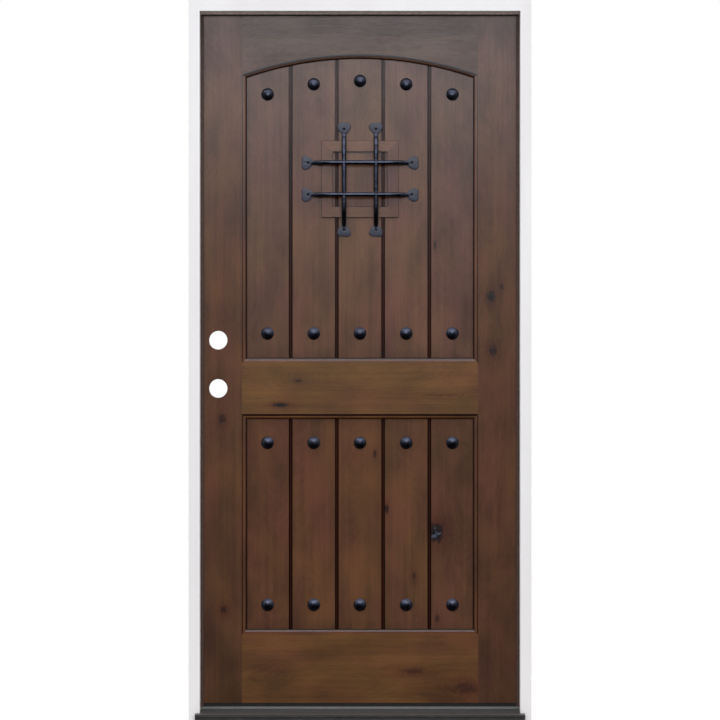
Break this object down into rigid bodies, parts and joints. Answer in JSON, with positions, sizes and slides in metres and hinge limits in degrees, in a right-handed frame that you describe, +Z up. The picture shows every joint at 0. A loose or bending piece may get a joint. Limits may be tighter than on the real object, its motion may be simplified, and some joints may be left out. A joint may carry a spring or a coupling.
{
  "type": "arched wooden door",
  "caption": "Prehung planked entry door with an arched upper panel, iron studs, a barred hatch with its own small door, white jambs and a metal-nosed sill.",
  "frame": {"origin": "on the floor under the sill, in the middle of the frame's width and of the jambs' depth", "axes": "+Z up; the outside of the door faces -Y and it opens towards +Y; the hinges are at +X and the lock edge at -X"},
  "size_m": [0.985, 0.1605, 2.07],
  "materials": {
    "primed_wood": "white factory primer on finger-jointed pine",
    "seal_tan": "brown foam weatherstrip in a vinyl skin",
    "seal_brown": "brown foam weatherstrip in a vinyl skin",
    "sill_composite": "dark wood-plastic composite",
    "bronze_aluminium": "dark bronze anodised aluminium",
    "cap_composite": "dark composite cap",
    "black_iron": "hammered iron, black powder coat",
    "sweep_rubber": "black vinyl sweep",
    "screw_steel": "zinc-plated screws",
    "satin_nickel": "satin nickel plate",
    "magnet_steel": "nickel-plated magnet and steel plate",
    "dowel_wood": "plain hardwood dowel",
    "alder_trim": "stained knotty alder, satin",
    "alder_planks": "stained knotty alder, satin",
    "alder_frame": "stained knotty alder, satin"
  },
  "bodies": {
    "frame": {"jamb_hinge_side": "primed_wood", "jamb_lock_side": "primed_wood", "head_jamb": "primed_wood", "weatherstrip_hinge_side": "seal_brown", "weatherstrip_lock_side": "seal_brown", "weatherstrip_head": "seal_tan", "sill_substrate": "sill_composite", "sill_deck": "bronze_aluminium", "sill_cap": "cap_composite", "frame_screws": "screw_steel", "hinge_bottom_frame_leaf": "satin_nickel", "hinge_middle_frame_leaf": "satin_nickel", "hinge_top_frame_leaf": "satin_nickel", "hinge_pins": "satin_nickel", "hinge_screws_frame": "screw_steel"},
    "door": {"stile_lock_side": "alder_frame", "stile_hinge_side": "alder_frame", "top_rail": "alder_frame", "lock_rail": "alder_frame", "bottom_rail": "alder_frame", "rail_dowels": "dowel_wood", "upper_plank_1": "alder_planks", "upper_plank_2": "alder_planks", "upper_plank_3_above": "alder_planks", "upper_plank_3_below": "alder_planks", "upper_plank_4": "alder_planks", "upper_plank_5": "alder_planks", "lower_plank_1": "alder_planks", "lower_plank_2": "alder_planks", "lower_plank_3": "alder_planks", "lower_plank_4": "alder_planks", "lower_plank_5": "alder_planks", "clavos": "black_iron", "trim_top": "alder_trim", "trim_right": "alder_trim", "trim_bottom": "alder_trim", "trim_left": "alder_trim", "grille": "black_iron", "grille_screws": "black_iron", "door_sweep": "sweep_rubber", "hinge_bottom_door_leaf": "satin_nickel", "hinge_middle_door_leaf": "satin_nickel", "hinge_top_door_leaf": "satin_nickel", "hinge_screws_door": "screw_steel", "hatch_catch_plate": "magnet_steel", "hatch_hinge_fixed_leaves": "satin_nickel", "hatch_hinge_pins": "satin_nickel", "hatch_screws_fixed": "screw_steel"},
    "hatch": {"hatch_board_left": "alder_planks", "hatch_board_middle": "alder_planks", "hatch_board_right": "alder_planks", "hatch_knob": "black_iron", "hatch_magnet": "magnet_steel", "hatch_hinge_moving_leaves": "satin_nickel", "hatch_screws_moving": "screw_steel"}
  },
  "joints": [
    {"name": "door_swing", "type": "hinge", "parent": "frame", "child": "door", "pos_m": [0.472, 0.069, 1.084], "axis": [0, 0, -1], "range_deg": [0, 170]},
    {"name": "hatch_swing", "type": "hinge", "parent": "door", "child": "hatch", "pos_m": [0.08525, 0.0533, 1.558], "axis": [0, 0, -1], "range_deg": [0, 160]}
  ]
}
